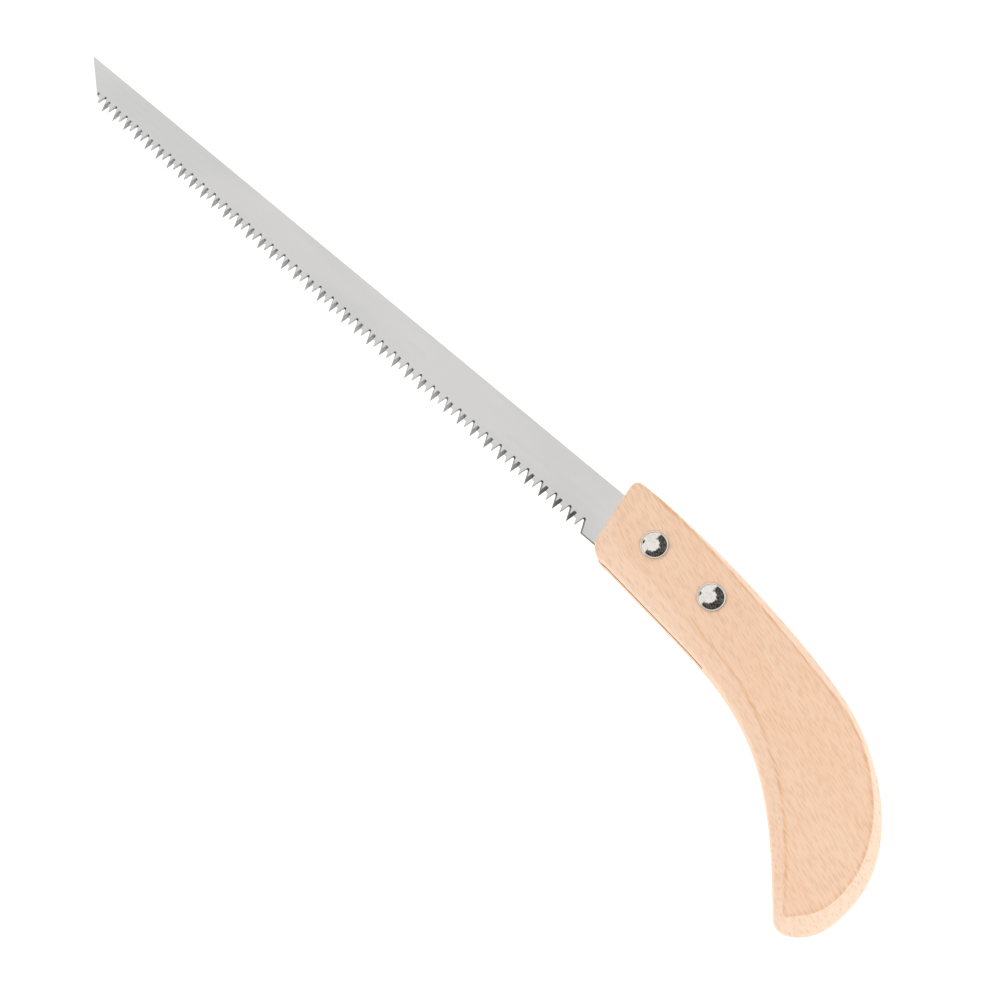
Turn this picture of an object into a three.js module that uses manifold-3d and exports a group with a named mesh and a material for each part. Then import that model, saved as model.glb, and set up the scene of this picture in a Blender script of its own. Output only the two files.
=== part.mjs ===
// A drywall saw lying on its side: a tapered steel blade riveted into a curved, chamfered wooden handle.
// Millimetres, +Z up. The saw is drawn with X = 0 where the blade leaves the handle, Y = 0 on the blade's
// straight back and Z = 0 halfway through the blade; the teeth face -Y and the handle lies on +X.
// The exported group then moves it so that the origin is below the middle of its bounding box.
import * as THREE from "three";
import { mergeVertices } from "three/addons/utils/BufferGeometryUtils.js";
import Module from "manifold-3d";

// Blade
const BLADE_LENGTH = 220; // along the back, from the handle to the point
const BLADE_THICKNESS = 1;
const BLADE_WIDTH = 15.2; // of the tang and of the toothless stretch beside the handle
const TOOTHLESS_LENGTH = 3.9;
const TIP_RAKE = 8 / 10.5; // the slanted end: distance across the blade for each unit along it
const TANG_LENGTH = 42.7; // hidden inside the handle

// Teeth, leaning towards the handle; the widths run from the back to the line of tooth tips
const TOOTH_COUNT = 79;
const TOOTH_PITCH = 2.565;
const TOOTH_DEPTH = 3.6;
const TOOTH_LEAN = 0.68; // where the tip stands between its two gullets, as a share of the pitch
const REAR_TOOTH_WIDTH = 14.9;
const FRONT_TOOTH_WIDTH = 10.9;

// Handle
const HANDLE_THICKNESS = 18;
const CHAMFER_DEPTH = 3;
const OUTLINE_STEP = 1.5; // the longest straight step along a curve
const HEEL = { x: 97.1, y: -53.1, radius: 3.8, from: -60, to: -137 };

// Rivets: a hollow post with a domed head on one side, a pin with the same head on the other
const RIVETS = [
  { name: "front_rivet", x: 14.9, y: -6.5 },
  { name: "rear_rivet", x: 34.3, y: -7.4 },
];
const HEAD_RADIUS = 3.6;
const HEAD_HEIGHT = 1.5;
const HEAD_RIM = 0.4; // height of the head's straight edge
const POST_RADIUS = 2;
const POST_BORE_RADIUS = 1.3;
const POST_BORE_DEPTH = 11;
const PIN_RADIUS = 1;
const ROUND_SEGMENTS = 40;

// Clearances between touching pieces
const GAP = 0.2;
const SEAT_GAP = 0.1; // under a rivet head

const wasm = await Module();
wasm.setup();

const steel = new THREE.MeshStandardMaterial({ color: 0xcfd1d3, roughness: 0.35, metalness: 1 });
const beech = new THREE.MeshStandardMaterial({ color: 0xf0caac, roughness: 0.6, metalness: 0 });
const nickel = new THREE.MeshStandardMaterial({ color: 0xd8d4cc, roughness: 0.12, metalness: 1 });

function toSolid(geometry) {
  const bare = geometry.clone();
  bare.deleteAttribute("normal");
  bare.deleteAttribute("uv");
  const merged = mergeVertices(bare, 1e-4);
  return new wasm.Manifold(
    new wasm.Mesh({
      numProp: 3,
      vertProperties: merged.getAttribute("position").array,
      triVerts: new Uint32Array(merged.index.array),
    }),
  );
}

function toGeometry(solid) {
  const mesh = solid.getMesh();
  const geometry = new THREE.BufferGeometry();
  geometry.setAttribute("position", new THREE.BufferAttribute(new Float32Array(mesh.vertProperties), 3));
  geometry.setIndex(new THREE.BufferAttribute(new Uint32Array(mesh.triVerts), 1));
  geometry.computeVertexNormals();
  return geometry;
}

function cut(geometry, tools) {
  let solid = toSolid(geometry);
  for (const tool of tools) {
    solid = solid.subtract(toSolid(tool));
  }
  return toGeometry(solid);
}

function box(low, high) {
  const made = new THREE.BoxGeometry(high[0] - low[0], high[1] - low[1], high[2] - low[2]);
  made.translate((low[0] + high[0]) / 2, (low[1] + high[1]) / 2, (low[2] + high[2]) / 2);
  return made;
}

function uprightCylinder(radius, height, x, y) {
  const made = new THREE.CylinderGeometry(radius, radius, height, ROUND_SEGMENTS);
  made.rotateX(Math.PI / 2);
  made.translate(x, y, 0);
  return made;
}

function point(x, y) {
  return new THREE.Vector2(x, y);
}

function heelPoint(degrees) {
  const angle = THREE.MathUtils.degToRad(degrees);
  return point(HEEL.x + HEEL.radius * Math.cos(angle), HEEL.y + HEEL.radius * Math.sin(angle));
}

// The handle's outline at its widest, clockwise: front corner, back (two curves), butt, heel, belly, straight
// edge above the teeth, lower front corner and front.
function wideOutline() {
  const { CubicBezierCurve, QuadraticBezierCurve, LineCurve, EllipseCurve } = THREE;
  const [heelStart, heelEnd] = [HEEL.from, HEEL.to].map(THREE.MathUtils.degToRad);
  return [
    new QuadraticBezierCurve(point(-0.75, 1.6), point(-0.95, 4.35), point(1.9, 4.35)),
    new CubicBezierCurve(point(1.9, 4.35), point(20, 4.5), point(51.3, 1.3), point(73, -4.8)),
    new CubicBezierCurve(point(73, -4.8), point(86.3, -8.5), point(105.6, -22), point(105.6, -40.6)),
    new CubicBezierCurve(point(105.6, -40.6), point(105.6, -47.5), point(104.3, -53.3), heelPoint(HEEL.from)),
    new EllipseCurve(HEEL.x, HEEL.y, HEEL.radius, HEEL.radius, heelStart, heelEnd, true),
    new CubicBezierCurve(heelPoint(HEEL.to), point(74.6, -32.4), point(62.8, -22.9), point(35, -20.3)),
    new LineCurve(point(35, -20.3), point(7.2, -17.62)),
    new QuadraticBezierCurve(point(7.2, -17.62), point(2.7, -18.2), point(1.75, -13.8)),
    new LineCurve(point(1.75, -13.8), point(-0.75, 1.6)),
  ];
}

// The outline of the flat faces inside the chamfer, curve for curve beside the wide outline. The chamfer is
// slight along the back, grows round the butt, is narrow at the heel and wide again along the belly.
function faceOutline() {
  const { CubicBezierCurve, QuadraticBezierCurve, LineCurve } = THREE;
  return [
    new QuadraticBezierCurve(point(0.3, 1.4), point(0.15, 3.3), point(2.4, 3.4)),
    new CubicBezierCurve(point(2.4, 3.4), point(18, 4.8), point(57, -3.2), point(72.9, -6.7)),
    new CubicBezierCurve(point(72.9, -6.7), point(87.1, -9.8), point(101.9, -23.7), point(101.9, -39.5)),
    new CubicBezierCurve(point(101.9, -39.5), point(101.9, -47.3), point(99.5, -49.3), point(95.7, -53.6)),
    new LineCurve(point(95.7, -53.6), point(94.9, -53.4)),
    new CubicBezierCurve(point(94.9, -53.4), point(78.3, -30.3), point(63.2, -19.3), point(35, -15.9)),
    new LineCurve(point(35, -15.9), point(17, -13.8)),
    new QuadraticBezierCurve(point(17, -13.8), point(5.5, -12.6), point(1.45, -6)),
    new LineCurve(point(1.45, -6), point(0.3, 1.4)),
  ];
}

// A closed ring of points along an outline, anticlockwise. Its steps follow the lengths of the wide outline,
// so that the rings of both outlines match point for point.
function ringOf(outline) {
  const steps = wideOutline().map((curve) => Math.ceil(curve.getLength() / OUTLINE_STEP));
  const points = outline.flatMap((curve, i) => curve.getSpacedPoints(steps[i]).slice(0, -1));
  return points.reverse();
}

// Rings of equal length, stacked from the lowest up, closed into a solid by a flat cap at each end.
function stackRings(rings) {
  const count = rings[0].length;
  const positions = rings.flat().flatMap((p) => [p.x, p.y, p.z]);
  const indices = [];
  for (let level = 0; level + 1 < rings.length; level++) {
    for (let i = 0; i < count; i++) {
      const a = level * count + i;
      const b = level * count + ((i + 1) % count);
      indices.push(a, b, b + count, a, b + count, a + count);
    }
  }
  const top = (rings.length - 1) * count;
  for (const [a, b, c] of THREE.ShapeUtils.triangulateShape(rings[0], [])) {
    indices.push(a, c, b);
  }
  for (const [a, b, c] of THREE.ShapeUtils.triangulateShape(rings[rings.length - 1], [])) {
    indices.push(top + a, top + b, top + c);
  }
  const geometry = new THREE.BufferGeometry();
  geometry.setAttribute("position", new THREE.Float32BufferAttribute(positions, 3));
  geometry.setIndex(indices);
  return geometry;
}

function makeHandle() {
  const face = HANDLE_THICKNESS / 2;
  const shoulder = face - CHAMFER_DEPTH;
  const at = (outline, z) => ringOf(outline).map((p) => new THREE.Vector3(p.x, p.y, z));
  const body = stackRings([
    at(faceOutline(), -face),
    at(wideOutline(), -shoulder),
    at(wideOutline(), shoulder),
    at(faceOutline(), face),
  ]);
  const slotHalf = BLADE_THICKNESS / 2 + GAP;
  const slot = box([-10, -40, -slotHalf], [TANG_LENGTH + GAP, GAP, slotHalf]);
  const holes = RIVETS.map((r) => uprightCylinder(POST_RADIUS + GAP, 2 * HANDLE_THICKNESS, r.x, r.y));
  return cut(body, [slot, ...holes]);
}

function makeBlade() {
  const toothEnd = -TOOTHLESS_LENGTH - TOOTH_LEAN * TOOTH_PITCH;
  const toothStart = toothEnd - TOOTH_COUNT * TOOTH_PITCH;
  const tipLine = (x) => {
    const share = (x - toothEnd) / (toothStart - toothEnd);
    return -THREE.MathUtils.lerp(REAR_TOOTH_WIDTH, FRONT_TOOTH_WIDTH, share);
  };
  const gulletLine = (x) => tipLine(x) + TOOTH_DEPTH;
  // The slanted end meets the handle-side flank of one more tooth, this share of the way to its tip.
  const flank = (1 - TOOTH_LEAN) * TOOTH_PITCH;
  const rise = gulletLine(toothStart) + (toothStart + BLADE_LENGTH) * TIP_RAKE;
  const share = rise / (TOOTH_DEPTH + flank * TIP_RAKE);

  const shape = new THREE.Shape();
  shape.moveTo(TANG_LENGTH, 0);
  shape.lineTo(-BLADE_LENGTH, 0);
  shape.lineTo(toothStart - flank * share, gulletLine(toothStart) - TOOTH_DEPTH * share);
  for (let i = 0; i < TOOTH_COUNT; i++) {
    const gullet = toothStart + i * TOOTH_PITCH;
    const tip = gullet + TOOTH_LEAN * TOOTH_PITCH;
    shape.lineTo(gullet, gulletLine(gullet));
    shape.lineTo(tip, tipLine(tip));
  }
  shape.lineTo(toothEnd, gulletLine(toothEnd));
  shape.lineTo(-TOOTHLESS_LENGTH, -BLADE_WIDTH);
  shape.lineTo(TANG_LENGTH, -BLADE_WIDTH);
  shape.closePath();
  const strip = new THREE.ExtrudeGeometry(shape, { depth: BLADE_THICKNESS, bevelEnabled: false });
  strip.translate(0, 0, -BLADE_THICKNESS / 2);
  return cut(strip, RIVETS.map((r) => uprightCylinder(POST_RADIUS + GAP, 4 * BLADE_THICKNESS, r.x, r.y)));
}

// A domed head standing on z = 0, as points of a lathe profile from its edge up to its crown.
function headProfile() {
  const dome = HEAD_HEIGHT - HEAD_RIM;
  const sphere = (HEAD_RADIUS ** 2 + dome ** 2) / (2 * dome);
  const spread = Math.asin(HEAD_RADIUS / sphere);
  const arc = [];
  for (let i = 0; i <= 8; i++) {
    const angle = spread * (1 - i / 8);
    arc.push(new THREE.Vector2(sphere * Math.sin(angle), HEAD_HEIGHT - sphere * (1 - Math.cos(angle))));
  }
  arc[8].x = 0;
  return [new THREE.Vector2(HEAD_RADIUS, 0), ...arc];
}

function lathe(profile) {
  const made = new THREE.LatheGeometry(profile, ROUND_SEGMENTS);
  made.rotateX(Math.PI / 2);
  return toGeometry(toSolid(made));
}

function makePost() {
  const end = -(HANDLE_THICKNESS - 2 * GAP);
  const boreTop = end + POST_BORE_DEPTH;
  return lathe([
    new THREE.Vector2(0, boreTop),
    new THREE.Vector2(POST_BORE_RADIUS, boreTop),
    new THREE.Vector2(POST_BORE_RADIUS, end),
    new THREE.Vector2(POST_RADIUS, end),
    new THREE.Vector2(POST_RADIUS, 0),
    ...headProfile(),
  ]);
}

function makeCap() {
  return lathe([
    new THREE.Vector2(0, -POST_BORE_DEPTH + 2 * GAP),
    new THREE.Vector2(PIN_RADIUS, -POST_BORE_DEPTH + 2 * GAP),
    new THREE.Vector2(PIN_RADIUS, 0),
    ...headProfile(),
  ]);
}

function piece(name, geometry, material) {
  const mesh = new THREE.Mesh(geometry, material);
  mesh.name = name;
  return mesh;
}

const saw = new THREE.Group();
saw.add(piece("handle", makeHandle(), beech));
saw.add(piece("blade", makeBlade(), steel));
for (const rivet of RIVETS) {
  const seat = HANDLE_THICKNESS / 2 + SEAT_GAP;
  const post = piece(rivet.name, makePost(), nickel);
  post.position.set(rivet.x, rivet.y, seat);
  const cap = piece(rivet.name + "_cap", makeCap(), nickel);
  cap.position.set(rivet.x, rivet.y, -seat);
  cap.rotation.x = Math.PI;
  saw.add(post, cap);
}

const bounds = new THREE.Box3().setFromObject(saw, true);
const middle = bounds.getCenter(new THREE.Vector3());
saw.position.set(-middle.x, -middle.y, -bounds.min.z);

const part = new THREE.Group();
part.add(saw);
export default part;
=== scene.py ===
# A drywall saw lying on its side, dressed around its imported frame.
# Lengths are millimetres in the saw's own axes: X = 0 where the blade leaves the handle, Y = 0 on the blade's
# straight back, Z = 0 halfway through the blade. The teeth face -Y and the handle lies on +X.
# place() turns them into the frame's metres.
import math
from itertools import product

import bmesh
import bpy
from mathutils import Matrix, Vector
from mathutils.geometry import intersect_line_line


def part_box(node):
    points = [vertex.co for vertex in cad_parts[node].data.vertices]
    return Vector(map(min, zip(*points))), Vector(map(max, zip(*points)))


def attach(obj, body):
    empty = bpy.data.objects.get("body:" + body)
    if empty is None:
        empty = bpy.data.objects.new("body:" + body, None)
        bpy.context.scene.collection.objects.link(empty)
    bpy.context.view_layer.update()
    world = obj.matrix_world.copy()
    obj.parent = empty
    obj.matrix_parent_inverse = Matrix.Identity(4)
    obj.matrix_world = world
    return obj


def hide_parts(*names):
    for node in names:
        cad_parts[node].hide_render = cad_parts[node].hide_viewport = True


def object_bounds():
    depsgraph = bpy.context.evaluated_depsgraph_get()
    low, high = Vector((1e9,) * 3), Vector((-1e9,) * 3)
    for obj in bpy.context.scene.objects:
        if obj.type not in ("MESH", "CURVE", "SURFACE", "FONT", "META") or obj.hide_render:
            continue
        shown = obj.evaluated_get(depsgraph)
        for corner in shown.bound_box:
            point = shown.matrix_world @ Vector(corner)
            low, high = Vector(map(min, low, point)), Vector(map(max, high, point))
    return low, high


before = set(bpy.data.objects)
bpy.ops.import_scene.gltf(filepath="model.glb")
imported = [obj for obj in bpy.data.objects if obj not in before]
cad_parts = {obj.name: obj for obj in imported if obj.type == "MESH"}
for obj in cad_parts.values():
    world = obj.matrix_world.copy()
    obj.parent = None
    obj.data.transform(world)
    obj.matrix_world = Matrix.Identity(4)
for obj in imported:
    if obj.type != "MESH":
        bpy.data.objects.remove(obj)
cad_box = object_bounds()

MM = 0.001
MERGE_DISTANCE = 0.001 * MM

# Blade
BLADE_LENGTH = 220
BLADE_WIDTH = 15.2
TOOTHLESS_LENGTH = 3.9
TIP_RAKE = 8 / 10.5  # how far the slanted end falls for each millimetre towards the handle

# Insets and depths that come in threes are for the blade's upper face, halfway and the lower face. These two
# are how far the plain edges stand in, and how far the toothless stretch's lower edge does.
EDGE_BREAK = (0.05, 0, 0.05)
UNDER_BREAK = (0.35, 0, 0.1)

# Teeth, counted from the handle. Even ones are set upwards, with their flanks barely broken; odd ones are set
# downwards and bevelled from above. The widths are the blade's over the first tooth and over the stub after
# the last.
TOOTH_COUNT = 79
TOOTH_PITCH = 2.565
TOOTH_DEPTH = 3.6
TOOTH_LEAN = 0.68  # where the tip stands between the tooth's front foot, at 0, and its rear foot, at 1
TOOTH_SET = 0.1
RIM_STRIDE = 5  # rim points to each tooth: four round its gullet, and its tip
EVEN_TEETH = {"widths": (14.7, 10.4), "set": TOOTH_SET, "rear": (0.1, 0, 0.15), "front": (0.1, 0, 0.15)}
ODD_TEETH = {"widths": (15.1, 11.4), "set": -TOOTH_SET, "rear": (0.65, 0.25, -0.15), "front": (0.65, 0.3, 0)}

# Gullets, each on its tooth's handle side, measured up from the line of tips. The even ones are rounded cuts;
# an odd one is shallower and continues as a pocket ground into the upper face.
GULLET_DEPTHS = (3.6, 3.35, 3.15)
GULLET_ROUNDING = 0.3
OPENING_DEPTH = 2.05
POCKET_DEPTHS = (3.2, 2.75, 2.2)
POCKET_EDGE = 0.2

# Handle
HEEL_CENTRE = (97.1, -53.1)
HEEL_RADIUS = 3.8
HEEL_FROM = math.radians(-60)
HEEL_TO = math.radians(-137)
CHAMFER_DEPTH = 3
SHOULDER_ROUNDING = 0.9
OUTLINE_STEP = 0.8
FEWEST_STEPS = 14  # along any one stretch of the outline
MEASURING_STEPS = 20
SIDE_ROW = 2  # how far above and below the middle of the handle's side it has another row of points
EDGE_STEPS = 5  # facets across each rounded edge
EASING_REACH = 6  # stations on each side over which the chamfer's measures blend
HANDLE_CREASE = 28  # degrees
HOLE_RADIUS = 2.15

# The box of the blade's slot: it starts clear of the handle's front and of its tooth side.
SLOT_LOW = (-20, -60, -1)
SLOT_HIGH = (42.9, 0.15, 1)

# Rivets, each with a cap. Heights are above the handle's face. RIM_CENTRE is a radius and a height.
RIVET_NODES = ("front_rivet", "rear_rivet")
DOME_RADIUS = 3.2
DOME_EDGE = 0.52
RIM_CENTRE = (3.4, 0.26)
RIM_RADIUS = 0.25
RIM_FROM = math.radians(-70)
RIM_TO = math.radians(130)
RIM_STEPS = 12
DOME_STEPS = 16
POST_RADIUS = 2
BORE_RADIUS = 1.3
BORE_DEPTH = 11
PIN_RADIUS = 1
RIVET_CREASE = 40  # degrees
ROUND_SEGMENTS = 96

# The studio
FLOOR_HALF = 5  # metres
CAMERA_SPOT = (87.8, -62.7, 353.5)
CAMERA_AIM = (-25.85, -22.29, 0)
CAMERA_ROLL = math.radians(-28.745)
CAMERA_LENS = 50.78
SENSOR_WIDTH = 36
LIGHT_AIM = (0, -20, 0)
LIGHT_SIZE = 0.9  # metres

# Each light's place and its power in watts.
LIGHTS = {
    "butt_fill": ((700, -120, 520), 3.7),
    "belly_fill": ((-150, -620, 520), 1.8),
    "back_fill": ((250, 600, 520), 2.1),
}

# The tent round it, as parts of a direction's unit vector. Each pair is where its dark opening starts and
# where it is fully dark: across X, away from the tent's top, and up from the ground. The dark stand's pair is
# how far from its middle it starts and is fully dark.
TENT_RAGGEDNESS = 0.3
TENT_TOP = (-0.25, 0, 0.968)
DARK_ACROSS = (-0.42, -0.28)
DARK_BELOW_TOP = (0.84, 0.78)
DARK_ABOVE_GROUND = (0.1, 0.16)
STAND_PLACE = (-0.93, -0.2, 0.3)
STAND_REACH = (0.22, 0.12)

blade_low, blade_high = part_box("blade")
handle_low, handle_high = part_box("handle")
ORIGIN = Vector((blade_low.x + BLADE_LENGTH * MM, blade_high.y, (blade_low.z + blade_high.z) / 2))
BLADE_HALF = (blade_high.z - blade_low.z) / MM / 2
TANG_LENGTH = (blade_high.x - ORIGIN.x) / MM
HANDLE_HALF = (handle_high.z - handle_low.z) / MM / 2


def place(x, y, z):
    return ORIGIN + Vector((x, y, z)) * MM


# ---------- mesh helpers ----------


def make_object(name, verts, faces, materials=()):
    mesh = bpy.data.meshes.new(name)
    mesh.from_pydata(verts, [], faces)
    mesh.update()
    for material in materials:
        mesh.materials.append(material)
    made = bpy.data.objects.new(name, mesh)
    bpy.context.scene.collection.objects.link(made)
    return made


def apply_modifiers(target):
    graph = bpy.context.evaluated_depsgraph_get()
    target.data = bpy.data.meshes.new_from_object(target.evaluated_get(graph), depsgraph=graph)
    target.modifiers.clear()


def subtract(target, cutters):
    for cutter in cutters:
        modifier = target.modifiers.new(cutter.name, "BOOLEAN")
        modifier.object = cutter
        modifier.solver = "EXACT"
    apply_modifiers(target)
    for cutter in cutters:
        bpy.data.objects.remove(cutter)


def smooth_with_creases(target, degrees):
    target.data.shade_smooth()
    target.data.set_sharp_from_angle(angle=math.radians(degrees))


def turn_faces_outwards(target, merge_distance=0):
    shell = bmesh.new()
    shell.from_mesh(target.data)
    if merge_distance:
        bmesh.ops.remove_doubles(shell, verts=shell.verts, dist=merge_distance)
    bmesh.ops.recalc_face_normals(shell, faces=shell.faces)
    shell.to_mesh(target.data)
    shell.free()


def box_cutter(low, high, materials):
    corners = [place(*corner) for corner in product(*zip(low, high))]
    faces = [(0, 1, 3, 2), (4, 6, 7, 5), (0, 4, 5, 1), (2, 3, 7, 6), (0, 2, 6, 4), (1, 5, 7, 3)]
    return make_object("cutter", corners, faces, materials)


def turned(name, profile, centre, seat, up=1, materials=()):
    """A round solid from (radius, height) points that start and end on the axis, standing on z = seat."""
    verts = []
    faces = []
    for radius, height in profile:
        for i in range(ROUND_SEGMENTS):
            angle = 2 * math.pi * i / ROUND_SEGMENTS
            spot = Vector((radius * math.cos(angle), radius * math.sin(angle), up * height)) * MM
            verts.append(Vector((centre.x, centre.y, seat)) + spot)
    for level in range(len(profile) - 1):
        for i in range(ROUND_SEGMENTS):
            a = level * ROUND_SEGMENTS + i
            b = level * ROUND_SEGMENTS + (i + 1) % ROUND_SEGMENTS
            faces.append((a, b, b + ROUND_SEGMENTS, a + ROUND_SEGMENTS))
    made = make_object(name, verts, faces, materials)
    turn_faces_outwards(made, merge_distance=MERGE_DISTANCE)
    return made


def rivet_centre(node):
    low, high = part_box(node)
    return (low + high) / 2


def rivet_hole(node, reach):
    """The cutter for a rivet's hole, reaching this far above and below the blade's middle."""
    profile = [(0, -reach), (HOLE_RADIUS, -reach), (HOLE_RADIUS, reach), (0, reach)]
    return turned("cutter", profile, rivet_centre(node), ORIGIN.z)


# ---------- handle ----------


def bezier(*controls):
    """The Bezier curve with these control points, as a function of t from 0 to 1."""

    def at(t):
        points = [Vector(c) for c in controls]
        while len(points) > 1:
            points = [a.lerp(b, t) for a, b in zip(points, points[1:])]
        return points[0]

    return at


def heel_arc(t):
    angle = HEEL_FROM + (HEEL_TO - HEEL_FROM) * t
    return Vector(HEEL_CENTRE) + HEEL_RADIUS * Vector((math.cos(angle), math.sin(angle)))


def handle_stretches():
    """The outline, clockwise from the front: its curve at the widest, the matching curve of the flat face
    inside the chamfer, how softly the chamfer meets the face, how wide the band inside that edge is, how far
    the band is darkened, and how pale the chamfer is painted, from 0, like the face, to 1, bare end grain.
    The paleness is partly sanded end grain and partly a painted sheen where the chamfers catch the light."""
    heel_start = tuple(heel_arc(0))
    heel_end = tuple(heel_arc(1))
    front_corner = bezier((-0.75, 1.6), (-0.95, 4.35), (1.9, 4.35))
    front_corner_face = bezier((0.3, 1.4), (0.15, 3.3), (2.4, 3.4))
    back = bezier((1.9, 4.35), (20, 4.5), (51.3, 1.3), (73, -4.8))
    back_face = bezier((2.4, 3.4), (18, 4.8), (57, -3.2), (72.9, -6.7))
    shoulder = bezier((73, -4.8), (86.3, -8.5), (105.6, -22), (105.6, -40.6))
    shoulder_face = bezier((72.9, -6.7), (87.1, -9.8), (101.9, -23.7), (101.9, -39.5))
    butt = bezier((105.6, -40.6), (105.6, -47.5), (104.3, -53.3), heel_start)
    butt_face = bezier((101.9, -39.5), (101.9, -47.3), (99.5, -49.3), (95.7, -53.6))
    heel_face = bezier((95.7, -53.6), (94.9, -53.4))
    belly = bezier(heel_end, (74.6, -32.4), (62.8, -22.9), (35, -20.3))
    belly_face = bezier((94.9, -53.4), (78.3, -30.3), (63.2, -19.3), (35, -15.9))
    straight = bezier((35, -20.3), (7.2, -17.62))
    straight_face = bezier((35, -15.9), (17, -13.8))
    lower_corner = bezier((7.2, -17.62), (2.7, -18.2), (1.75, -13.8))
    lower_corner_face = bezier((17, -13.8), (5.5, -12.6), (1.45, -6))
    front = bezier((1.75, -13.8), (-0.75, 1.6))
    front_face = bezier((1.45, -6), (0.3, 1.4))
    return [
        (front_corner, front_corner_face, 0.35, 0.3, 0.3, 0.3),
        (back, back_face, 0.25, 0.9, 0.9, 0.7),
        (shoulder, shoulder_face, 0.25, 0.8, 0.8, 0.9),
        (butt, butt_face, 0.12, 1.2, 0.6, 0.9),
        (heel_arc, heel_face, 0.12, 0.2, 0.5, 0.7),
        (belly, belly_face, 0.3, 0.8, 0.8, 0.2),
        (straight, straight_face, 1.3, 1.6, 0, 0.4),
        (lower_corner, lower_corner_face, 1.8, 1.8, 0, 0.4),
        (front, front_face, 0.5, 0.7, 0.3, 0.6),
    ]


def handle_stations():
    """The wide and face points at close steps round the outline, each with its stretch's four measures."""
    stations = []
    for wide, face, *measures in handle_stretches():
        marks = [wide(i / MEASURING_STEPS) for i in range(MEASURING_STEPS + 1)]
        length = sum((b - a).length for a, b in zip(marks, marks[1:]))
        steps = max(FEWEST_STEPS, round(length / OUTLINE_STEP))
        for i in range(steps):
            stations.append((wide(i / steps), face(i / steps), *measures))
    return stations


def eased(values, reach):
    """Each value averaged with its neighbours round a closed ring."""
    count = len(values)
    window = range(-reach, reach + 1)
    return [sum(values[(i + j) % count] for j in window) / len(window) for i in range(count)]


def rounded_corner(before, corner, after, cut):
    """Points of a rounded corner that starts and ends a cut's length away from it, or a little less than
    halfway to its neighbours where they are near."""
    start = corner + (before - corner).normalized() * min(cut, 0.45 * (before - corner).length)
    end = corner + (after - corner).normalized() * min(cut, 0.45 * (after - corner).length)
    curve = bezier(start, corner, end)
    return [curve(i / EDGE_STEPS) for i in range(EDGE_STEPS + 1)]


def handle_section(wide, face, soft, band, dark, pale_and_sheen):
    """(point, edge value, chamfer paleness) down the handle's skin at one station: upper face, chamfer, side,
    chamfer, lower face. The edge value is all of dark where the flat face starts to round off, and fades to 0
    across the band inside it and across the rounding. The chamfer paleness, partly sanded end grain and
    partly painted sheen, grows across the rounding and stays over the chamfer and side."""
    inward = (face - wide).normalized()
    inside = face + inward * (band + soft)
    shoulder = HANDLE_HALF - CHAMFER_DEPTH
    corners = [(inside, HANDLE_HALF), (face, HANDLE_HALF), (wide, shoulder), (wide, 0)]
    inner, rim, low_rim, middle = [Vector((p.x, p.y, height)) for p, height in corners]
    face_edge = rounded_corner(inner, rim, low_rim, soft)
    side_edge = rounded_corner(rim, low_rim, middle, SHOULDER_ROUNDING)
    upper = [(inner, 0, 0)]
    for i, point in enumerate(face_edge):
        turn = i / EDGE_STEPS
        upper.append((point, dark * (1 - turn), pale_and_sheen * turn))
    upper += [(point, 0, pale_and_sheen) for point in side_edge]
    side = [(Vector((wide.x, wide.y, z)), 0, pale_and_sheen) for z in (SIDE_ROW, -SIDE_ROW)]
    lower = [(Vector((p.x, p.y, -p.z)), *values) for p, *values in reversed(upper)]
    return upper + side + lower


def make_handle(wood, kerf):
    stations = handle_stations()
    measures = zip(*[eased([s[column] for s in stations], EASING_REACH) for column in (2, 3, 4, 5)])
    sections = [handle_section(s[0], s[1], *values) for s, values in zip(stations, measures)]
    depth = len(sections[0])
    count = len(sections)
    skin = [entry for section in sections for entry in section]
    faces = []
    for i in range(count):
        for j in range(depth - 1):
            a = i * depth + j
            b = (i + 1) % count * depth + j
            faces.append((a, b, b + 1, a + 1))
    faces.append([i * depth for i in reversed(range(count))])
    faces.append([i * depth + depth - 1 for i in range(count)])
    handle = make_object("beech_handle", [place(*point) for point, _, _ in skin], faces, (wood, kerf))
    # Each point also carries the chamfer paleness, partly sanded end grain and partly painted sheen.
    for column, name in ((1, "edge"), (2, "pale_and_sheen")):
        attribute = handle.data.attributes.new(name, "FLOAT", "POINT")
        attribute.data.foreach_set("value", [entry[column] for entry in skin])
    # The slot's walls take the second, darker material: painted shade inside the slot.
    slot = box_cutter(SLOT_LOW, SLOT_HIGH, (wood, kerf))
    slot.data.polygons.foreach_set("material_index", [1] * len(slot.data.polygons))
    holes = [rivet_hole(node, 2 * HANDLE_HALF) for node in RIVET_NODES]
    subtract(handle, [slot, *holes])
    smooth_with_creases(handle, HANDLE_CREASE)
    return handle


# ---------- blade ----------


def crossing(line_a, line_b):
    """Where two lines meet. A line is a point and a direction, with the steel on the direction's left."""
    (p, u), (q, v) = line_a, line_b
    return intersect_line_line(p, p + u, q, q + v)[0]


def line(start, end, inset=0):
    """The line through two points of the blade's plane, moved into the steel by the inset."""
    start, end = Vector((*start, 0)), Vector((*end, 0))
    along = (end - start).normalized()
    return start + Vector((-along.y, along.x, 0)) * inset, along


def gullet_x(index):
    return -TOOTHLESS_LENGTH - TOOTH_LEAN * TOOTH_PITCH - index * TOOTH_PITCH


def tip_y(kind, index):
    rear_width, front_width = kind["widths"]
    return -rear_width - (front_width - rear_width) * index / TOOTH_COUNT


def tooth_flanks(index, level):
    """The two flanks of a tooth at one level, and how far its tip is set."""
    kind = (EVEN_TEETH, ODD_TEETH)[index % 2]
    tip = (gullet_x(index + 1) + TOOTH_LEAN * TOOTH_PITCH, tip_y(kind, index))
    rear_foot = (gullet_x(index), tip[1] + TOOTH_DEPTH)
    front_foot = (gullet_x(index + 1), tip[1] + TOOTH_DEPTH)
    return line(tip, rear_foot, kind["rear"][level]), line(front_foot, tip, kind["front"][level]), kind["set"]


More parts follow.
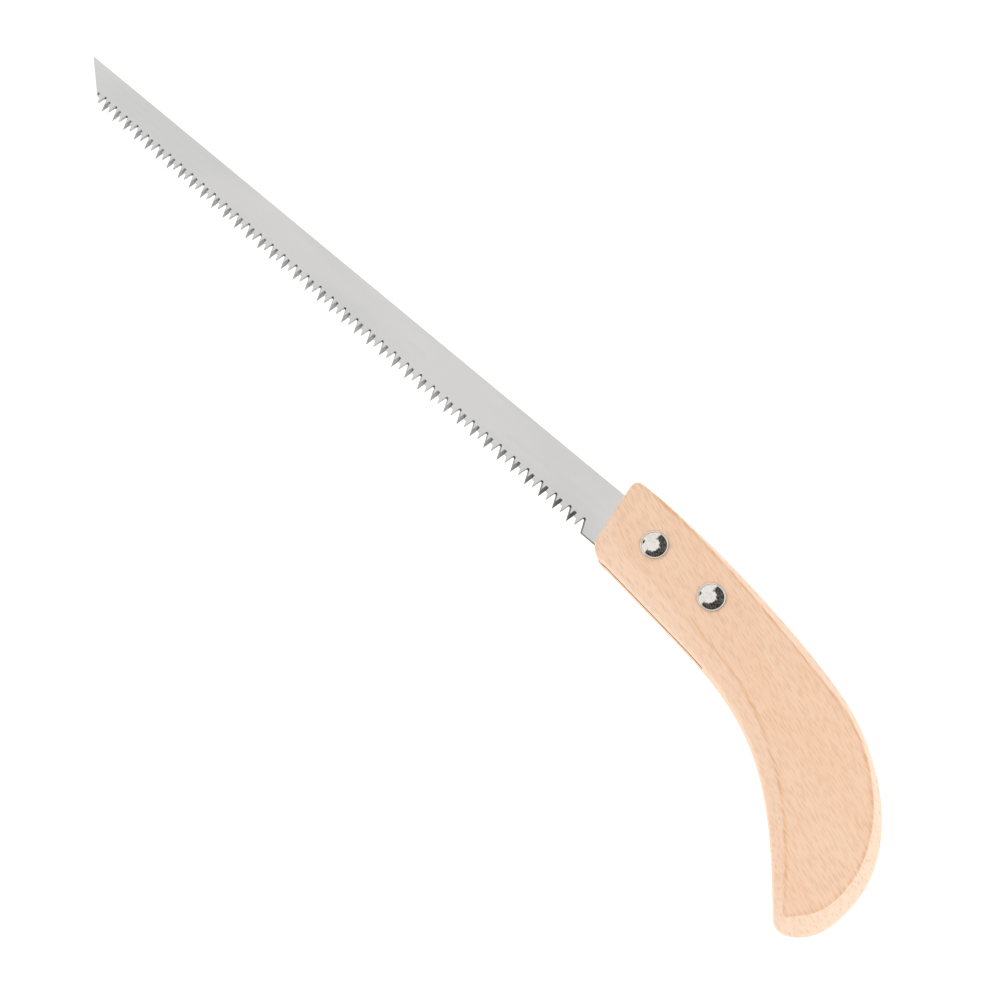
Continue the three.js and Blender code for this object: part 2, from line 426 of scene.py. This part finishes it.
def gullet(index, level, last_flank, rear):
    """Four points round the gullet between the last tooth's front flank and this tooth's rear flank. An even
    gullet's floor is level over its middle half."""

    def across(depth):
        y = (tip_y(EVEN_TEETH, index) + tip_y(ODD_TEETH, index)) / 2 + depth
        return line((0, y), (-1, y))

    if index % 2:
        edge_x = gullet_x(index) + POCKET_EDGE
        edge = line((edge_x, 0), (edge_x, -1))
        opening = across(OPENING_DEPTH)
        pocket = across(POCKET_DEPTHS[level])
        walls = (last_flank, opening, edge, pocket, rear)
        return [crossing(*pair) for pair in zip(walls, walls[1:])]
    floor = across(GULLET_DEPTHS[level])
    below = across(GULLET_DEPTHS[level] - GULLET_ROUNDING)
    start = crossing(last_flank, floor)
    end = crossing(floor, rear)
    return [crossing(last_flank, below), start.lerp(end, 0.25), start.lerp(end, 0.75), crossing(below, rear)]


def blade_rim(level):
    """The blade's outline at one level: toothed edge from the handle to the point, back, tang."""
    height = BLADE_HALF * (1 - level)
    edge = EDGE_BREAK[level]
    corner = (-TOOTHLESS_LENGTH, -BLADE_WIDTH)
    under = line(corner, (TANG_LENGTH, -BLADE_WIDTH), UNDER_BREAK[level])
    heel = line((TANG_LENGTH, -BLADE_WIDTH), (TANG_LENGTH, 0))
    back = line((0, 0), (-BLADE_LENGTH, 0), edge)
    slanted_end = line((-BLADE_LENGTH, 0), (1 - BLADE_LENGTH, -TIP_RAKE), edge)
    last_flank = line((gullet_x(0), TOOTH_DEPTH - BLADE_WIDTH), corner, ODD_TEETH["front"][level])
    rim = [crossing(last_flank, under)]
    for index in range(TOOTH_COUNT):
        rear, front, bend = tooth_flanks(index, level)
        tip = crossing(rear, front)
        tip.z = bend
        rim += gullet(index, level, last_flank, rear) + [tip]
        last_flank = front
    stub_flank, _, _ = tooth_flanks(TOOTH_COUNT, level)
    rim += gullet(TOOTH_COUNT, level, last_flank, stub_flank)
    rim += [crossing(stub_flank, slanted_end), crossing(slanted_end, back)]
    rim += [Vector((gullet_x(index), -edge, 0)) for index in reversed(range(TOOTH_COUNT + 1))]
    rim += [crossing(back, heel), crossing(heel, under)]
    return [place(p.x, p.y, p.z + height) for p in rim]


def blade_faces(count):
    """Faces of one side, as positions in the rim: the tang with the toothless stretch, then the wedge behind
    each gullet, the strip behind its tooth and the tooth. The stub's face ends at the slanted end."""
    faces = [(count - 1, count - 2, count - 3, 1, 0)]
    for index in range(TOOTH_COUNT + 1):
        start = RIM_STRIDE * index + 1
        end = start + 3
        tip = start + 4
        next_start = start + RIM_STRIDE
        back = count - 3 - index
        faces.append((start, back, end, end - 1, end - 2))
        if index < TOOTH_COUNT:
            faces.append((end, back, back - 1, next_start))
            faces.append((end, next_start, tip))
        else:
            faces.append((end, back, tip + 1, tip))
    return faces


def wall_kind(position):
    """Which material the wall has that starts at this rim position: 2 in the even gullets and the odd teeth's
    pockets, 3 on the odd teeth's rear bevels, 1 on every other edge. The dark steels 2 and 3 are partly dark
    ground steel, partly painted shade in the gullets and pockets and painted dark reflection on the bevels."""
    index, step = divmod(position - 1, RIM_STRIDE)
    if not 0 <= index <= TOOTH_COUNT:
        return 1
    return (1, 2, 2, 3, 1)[step] if index % 2 else (2, 2, 2, 1, 1)[step]


def make_blade(*steels):
    rims = [blade_rim(level) for level in range(3)]
    count = len(rims[0])
    faces = blade_faces(count)
    faces += [[2 * count + i for i in reversed(face)] for face in faces]
    kinds = [0] * len(faces)
    for base in (0, count):
        for i in range(count):
            after = (i + 1) % count
            faces.append((base + i, base + after, base + count + after, base + count + i))
            kinds.append(wall_kind(i))
    blade = make_object("steel_blade", rims[0] + rims[1] + rims[2], faces, steels)
    blade.data.polygons.foreach_set("material_index", kinds)
    turn_faces_outwards(blade)
    subtract(blade, [rivet_hole(node, 4 * BLADE_HALF) for node in RIVET_NODES])
    return blade


# ---------- rivets ----------


def head_profile():
    """From the foot of the rolled rim, over it, and up the dome to the crown."""
    _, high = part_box(RIVET_NODES[0])
    crown = (high.z - handle_high.z) / MM
    rise = crown - DOME_EDGE
    sphere = (DOME_RADIUS**2 + rise**2) / (2 * rise)
    spread = math.asin(DOME_RADIUS / sphere)
    points = []
    for i in range(RIM_STEPS + 1):
        angle = RIM_FROM + (RIM_TO - RIM_FROM) * i / RIM_STEPS
        radius = RIM_CENTRE[0] + RIM_RADIUS * math.cos(angle)
        points.append((radius, RIM_CENTRE[1] + RIM_RADIUS * math.sin(angle)))
    for i in range(DOME_STEPS + 1):
        angle = spread * (1 - i / DOME_STEPS)
        points.append((sphere * math.sin(angle), crown - sphere * (1 - math.cos(angle))))
    return points


def make_rivet(name, node, plating):
    low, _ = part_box(node)
    seat = handle_high.z
    end = (low.z - seat) / MM
    bore = end + BORE_DEPTH
    post = [(0, bore), (BORE_RADIUS, bore), (BORE_RADIUS, end), (POST_RADIUS, end), (POST_RADIUS, 0)]
    rivet = turned(name, post + head_profile(), rivet_centre(node), seat, materials=(plating,))
    smooth_with_creases(rivet, RIVET_CREASE)
    return rivet


def make_cap(name, node, plating):
    _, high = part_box(node)
    seat = handle_low.z
    end = (seat - high.z) / MM
    pin = [(0, end), (PIN_RADIUS, end), (PIN_RADIUS, 0)]
    cap = turned(name, pin + head_profile(), rivet_centre(node), seat, up=-1, materials=(plating,))
    smooth_with_creases(cap, RIVET_CREASE)
    return cap


# ---------- materials ----------

GRAIN_TURN = 19  # the grain runs this many degrees down from the blade's line
PALE_BAND = (0.905, 0.645, 0.468, 1)
PINK_BAND = (0.905, 0.615, 0.443, 1)
FIBRE = (0.79, 0.49, 0.31, 1)
# The chamfers' pale colour: partly sanded end grain, partly painted sheen where they catch the light.
PALE_CHAMFER_AND_SHEEN = (0.97, 0.78, 0.63, 1)
RAY_FLECK = (0.68, 0.36, 0.18, 1)
EDGE_BROWN = (0.70, 0.34, 0.13, 1)

# The places along the blade between which the cut steel's tone changes, lightening towards the point as a
# painted highlight.
TONE_FROM = -5
TONE_TO = -60


def add_node(tree, kind, inputs=None, **settings):
    made = tree.nodes.new(kind)
    for key, value in settings.items():
        setattr(made, key, value)
    for key, value in (inputs or {}).items():
        if isinstance(value, bpy.types.NodeSocket):
            tree.links.new(value, made.inputs[key])
        else:
            made.inputs[key].default_value = value
    return made


def new_material(name):
    material = bpy.data.materials.new(name)
    material.use_nodes = True
    tree = material.node_tree
    return material, tree, tree.nodes["Principled BSDF"]


def vector_math(tree, operation, *inputs):
    return add_node(tree, "ShaderNodeVectorMath", dict(enumerate(inputs)), operation=operation).outputs


def object_coordinates(tree):
    return add_node(tree, "ShaderNodeTexCoord").outputs["Object"]


def stretched(tree, turn, scale):
    """Object coordinates turned about Z by so many degrees, then scaled along each axis, per metre."""
    inputs = {"Vector": object_coordinates(tree), "Rotation": (0, 0, math.radians(turn))}
    mapping = add_node(tree, "ShaderNodeMapping", inputs)
    return vector_math(tree, "MULTIPLY", mapping.outputs["Vector"], scale)["Vector"]


def noise(tree, vector, scale=1.0, detail=3.0, roughness=0.5):
    inputs = {"Vector": vector, "Scale": scale, "Detail": detail, "Roughness": roughness}
    return add_node(tree, "ShaderNodeTexNoise", inputs).outputs["Fac"]


def remap(tree, value, low, high, to_low=0.0, to_high=1.0):
    """An eased step from to_low at the low value to to_high at the high one."""
    inputs = {"Value": value, "From Min": low, "From Max": high, "To Min": to_low, "To Max": to_high}
    return add_node(tree, "ShaderNodeMapRange", inputs, interpolation_type="SMOOTHSTEP").outputs["Result"]


def multiply(tree, *factors):
    product_so_far, *others = factors
    for factor in others:
        inputs = {0: product_so_far, 1: factor}
        product_so_far = add_node(tree, "ShaderNodeMath", inputs, operation="MULTIPLY").outputs["Value"]
    return product_so_far


def mix_colour(tree, factor, a, b):
    mix = add_node(tree, "ShaderNodeMix", data_type="RGBA")
    sockets = [s for s in mix.inputs if s.enabled]
    for socket, value in zip(sockets, (factor, a, b)):
        if isinstance(value, bpy.types.NodeSocket):
            tree.links.new(value, socket)
        else:
            socket.default_value = value
    return next(s for s in mix.outputs if s.enabled)


def grey(level):
    return (level, level, level, 1)


def bump(tree, height, strength, distance):
    inputs = {"Height": height, "Strength": strength, "Distance": distance}
    return add_node(tree, "ShaderNodeBump", inputs).outputs["Normal"]


def mesh_value(tree, name):
    """The value that each point of the mesh carries under this name."""
    return add_node(tree, "ShaderNodeAttribute", attribute_name=name).outputs["Fac"]


def along_grain(tree, *scale):
    return stretched(tree, GRAIN_TURN, scale)


def beech():
    """Steamed beech: soft bands, fine fibres and short darker ray flecks along the grain. The chamfers are
    painted paler, most of all on the end grain, partly as sanded end grain and partly as a painted sheen
    where they catch the light, and the flat faces a little darker along their edges."""
    material, tree, shader = new_material("beech")
    bands = noise(tree, along_grain(tree, 14, 150, 150), detail=1)
    colour = mix_colour(tree, remap(tree, bands, 0.35, 0.65), PALE_BAND, PINK_BAND)
    fibres = noise(tree, along_grain(tree, 170, 3000, 3000), detail=1)
    colour = mix_colour(tree, remap(tree, fibres, 0.4, 0.66, 0, 0.36), colour, FIBRE)
    # Chamfers mixed towards the pale colour: partly sanded end grain, partly painted sheen.
    colour = mix_colour(tree, multiply(tree, mesh_value(tree, "pale_and_sheen"), 0.65), colour, PALE_CHAMFER_AND_SHEEN)
    inputs = {"Vector": along_grain(tree, 300, 2300, 900), "Scale": 1.0, "Randomness": 0.85}
    cells = add_node(tree, "ShaderNodeTexVoronoi", inputs).outputs["Distance"]
    fleck = remap(tree, cells, 0.45, 0.2)
    patchy = remap(tree, noise(tree, along_grain(tree, 60, 120, 120)), 0.3, 0.7, 0.75, 1)
    colour = mix_colour(tree, multiply(tree, fleck, patchy, 0.36), colour, RAY_FLECK)
    broken = remap(tree, fibres, 0.4, 0.62, 0.2, 1)
    colour = mix_colour(tree, multiply(tree, mesh_value(tree, "edge"), broken, 0.75), colour, EDGE_BROWN)
    tree.links.new(colour, shader.inputs["Base Color"])
    tree.links.new(remap(tree, fibres, 0.3, 0.7, 0.48, 0.62), shader.inputs["Roughness"])
    relief = add_node(tree, "ShaderNodeMath", {0: fibres, 1: fleck}, operation="SUBTRACT").outputs["Value"]
    tree.links.new(bump(tree, relief, 0.35, 0.00006), shader.inputs["Normal"])
    shader.inputs["Specular IOR Level"].default_value = 0.35
    return material


def shaded_slot_beech():
    """The walls of the slot, painted a darker brown than the face: painted shade inside the narrow slot."""
    material, tree, shader = new_material("shaded_slot_beech")
    slot_blotches = noise(tree, stretched(tree, 0, (300, 900, 900)), detail=3)
    colour = mix_colour(tree, remap(tree, slot_blotches, 0.3, 0.7), (0.48, 0.21, 0.09, 1), (0.58, 0.29, 0.14, 1))
    tree.links.new(colour, shader.inputs["Base Color"])
    shader.inputs["Roughness"].default_value = 0.8
    shader.inputs["Specular IOR Level"].default_value = 0.2
    return material


def strip_steel():
    """Bright rolled steel with faint lines along the blade."""
    material, tree, shader = new_material("strip_steel")
    lines = noise(tree, stretched(tree, 0, (40, 3000, 3000)), detail=4, roughness=0.65)
    clouds = noise(tree, stretched(tree, 0, (16, 60, 60)), detail=2)
    colour = mix_colour(tree, remap(tree, lines, 0.3, 0.7), (0.74, 0.74, 0.75, 1), (0.80, 0.80, 0.81, 1))
    colour = mix_colour(tree, remap(tree, clouds, 0.3, 0.7, 0, 0.6), colour, grey(0.88))
    tree.links.new(colour, shader.inputs["Base Color"])
    tree.links.new(remap(tree, lines, 0.25, 0.75, 0.36, 0.5), shader.inputs["Roughness"])
    tree.links.new(bump(tree, lines, 0.06, 0.00002), shader.inputs["Normal"])
    shader.inputs["Metallic"].default_value = 1
    return material


def cut_steel(name, by_handle, by_point):
    """Steel left matt by cutting, scored across. It has one tone by the handle and another, from TONE_TO on,
    as far as the point; the lighter tone towards the point is a painted highlight."""
    material, tree, shader = new_material(name)
    along = add_node(tree, "ShaderNodeSeparateXYZ", {"Vector": object_coordinates(tree)}).outputs["X"]
    painted_highlight_towards_point = remap(tree, along, place(TONE_FROM, 0, 0).x, place(TONE_TO, 0, 0).x)
    tone_and_highlight = mix_colour(tree, painted_highlight_towards_point, grey(by_handle), grey(by_point))
    scores = noise(tree, stretched(tree, 0, (4500, 700, 4500)), detail=3)
    worn = noise(tree, stretched(tree, 0, (40, 90, 90)), detail=2)
    colour = mix_colour(tree, remap(tree, scores, 0.3, 0.7, 0.45, 0), tone_and_highlight, grey(0.02))
    colour = mix_colour(tree, remap(tree, worn, 0.4, 0.7, 0, 0.3), colour, grey(0.35))
    tree.links.new(colour, shader.inputs["Base Color"])
    tree.links.new(remap(tree, scores, 0.3, 0.7, 0.5, 0.65), shader.inputs["Roughness"])
    tree.links.new(bump(tree, scores, 0.2, 0.00003), shader.inputs["Normal"])
    shader.inputs["Specular IOR Level"].default_value = 0
    return material


def nickel():
    """Polished nickel plating with the faintest waviness from pressing."""
    material, tree, shader = new_material("polished_nickel")
    waves = noise(tree, stretched(tree, 0, (420, 420, 420)), detail=2)
    tint = mix_colour(tree, remap(tree, waves, 0.35, 0.65), (0.88, 0.85, 0.80, 1), (0.93, 0.90, 0.86, 1))
    tree.links.new(tint, shader.inputs["Base Color"])
    fine = noise(tree, stretched(tree, 0, (3000, 3000, 3000)), detail=2)
    tree.links.new(remap(tree, fine, 0.3, 0.7, 0.06, 0.13), shader.inputs["Roughness"])
    tree.links.new(bump(tree, waves, 0.25, 0.0002), shader.inputs["Normal"])
    shader.inputs["Metallic"].default_value = 1
    return material


def paper_floor():
    """Plain matt white paper lit a little from beneath, with the slightest mottling."""
    material, tree, shader = new_material("paper_floor")
    mottle = noise(tree, stretched(tree, 0, (30, 30, 30)), detail=4)
    colour = mix_colour(tree, remap(tree, mottle, 0.3, 0.7), grey(0.93), grey(0.95))
    tree.links.new(colour, shader.inputs["Base Color"])
    tree.links.new(colour, shader.inputs["Emission Color"])
    shader.inputs["Emission Strength"].default_value = 0.45
    shader.inputs["Roughness"].default_value = 0.9
    shader.inputs["Specular IOR Level"].default_value = 0.1
    return material


# ---------- the studio ----------


def make_floor():
    ground = cad_box[0][2]
    signs = ((-1, -1), (1, -1), (1, 1), (-1, 1))
    corners = [(x * FLOOR_HALF, y * FLOOR_HALF, ground) for x, y in signs]
    floor = make_object("floor", corners, [(0, 1, 2, 3)], (paper_floor(),))


def make_world():
    """A bright tent, open and dark on the side of the butt, except overhead and along the ground, with a dark
    stand opposite. Noise makes the tent's hems ragged."""
    world = bpy.data.worlds.new("tent")
    world.use_nodes = True
    tree = world.node_tree
    direction = add_node(tree, "ShaderNodeTexCoord").outputs["Generated"]
    creases = add_node(tree, "ShaderNodeTexNoise", {"Vector": direction, "Scale": 5.0, "Detail": 3.0})
    ragged = vector_math(tree, "SUBTRACT", creases.outputs["Color"], (0.5, 0.5, 0.5))["Vector"]
    bent = vector_math(tree, "MULTIPLY_ADD", ragged, (TENT_RAGGEDNESS,) * 3, direction)["Vector"]
    across = add_node(tree, "ShaderNodeSeparateXYZ", {"Vector": bent}).outputs["X"]
    beside = remap(tree, across, *DARK_ACROSS)
    below_top = remap(tree, vector_math(tree, "DOT_PRODUCT", bent, TENT_TOP)["Value"], *DARK_BELOW_TOP)
    height = add_node(tree, "ShaderNodeSeparateXYZ", {"Vector": direction}).outputs["Z"]
    above_ground = remap(tree, height, *DARK_ABOVE_GROUND)
    cloth = noise(tree, direction, 9.0, 2.0)
    bright = mix_colour(tree, remap(tree, cloth, 0.3, 0.7), (0.76, 0.76, 0.75, 1), (0.97, 0.96, 0.94, 1))
    dark = mix_colour(tree, remap(tree, cloth, 0.4, 0.65), grey(0.02), (0.16, 0.15, 0.14, 1))
    colour = mix_colour(tree, multiply(tree, beside, below_top, above_ground), bright, dark)
    from_stand = vector_math(tree, "DISTANCE", bent, STAND_PLACE)["Value"]
    colour = mix_colour(tree, remap(tree, from_stand, *STAND_REACH), colour, (0.04, 0.03, 0.03, 1))
    tree.links.new(colour, tree.nodes["Background"].inputs["Color"])
    bpy.context.scene.world = world


def aimed(spot, aim):
    """The turn that points a light or a camera from one place at another."""
    return (place(*aim) - place(*spot)).to_track_quat("-Z", "Y").to_matrix()


def make_light(name, spot, power):
    data = bpy.data.lights.new(name, "AREA")
    data.shape = "DISK"
    data.size = LIGHT_SIZE
    data.energy = power
    light = bpy.data.objects.new(name, data)
    light.location = place(*spot)
    light.rotation_euler = aimed(spot, LIGHT_AIM).to_euler()
    light.visible_glossy = False
    bpy.context.scene.collection.objects.link(light)


def make_camera():
    data = bpy.data.cameras.new("camera")
    data.sensor_width = SENSOR_WIDTH
    data.lens = CAMERA_LENS
    camera = bpy.data.objects.new("camera", data)
    camera.location = place(*CAMERA_SPOT)
    turn = aimed(CAMERA_SPOT, CAMERA_AIM) @ Matrix.Rotation(CAMERA_ROLL, 3, "Z")
    camera.rotation_euler = turn.to_euler()
    bpy.context.scene.collection.objects.link(camera)
    bpy.context.scene.camera = camera


# ---------- assembly ----------


def finish_piece(piece, node):
    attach(piece, "root")
    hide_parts(node)


finish_piece(make_handle(beech(), shaded_slot_beech()), "handle")
# Each cut steel's tone by the handle and by the point; the lightening towards the point is a painted
# highlight.
edge_steel = cut_steel("edge_steel", 0.32, 0.7)
# The gullet and bevel steels are dark partly as ground steel, partly as painted shade in the hollows and
# painted dark reflection on the bevels.
gullet_steel = cut_steel("gullet_steel", 0.13, 0.16)
bevel_steel = cut_steel("bevel_steel", 0.14, 0.5)
finish_piece(make_blade(strip_steel(), edge_steel, gullet_steel, bevel_steel), "blade")
plating = nickel()
for node in RIVET_NODES:
    finish_piece(make_rivet(node + "_head", node, plating), node)
    finish_piece(make_cap(node + "_back", node + "_cap", plating), node + "_cap")

make_floor()
make_world()
for name, (spot, power) in LIGHTS.items():
    make_light(name, spot, power)
make_camera()
bpy.context.scene.view_settings.view_transform = "Standard"
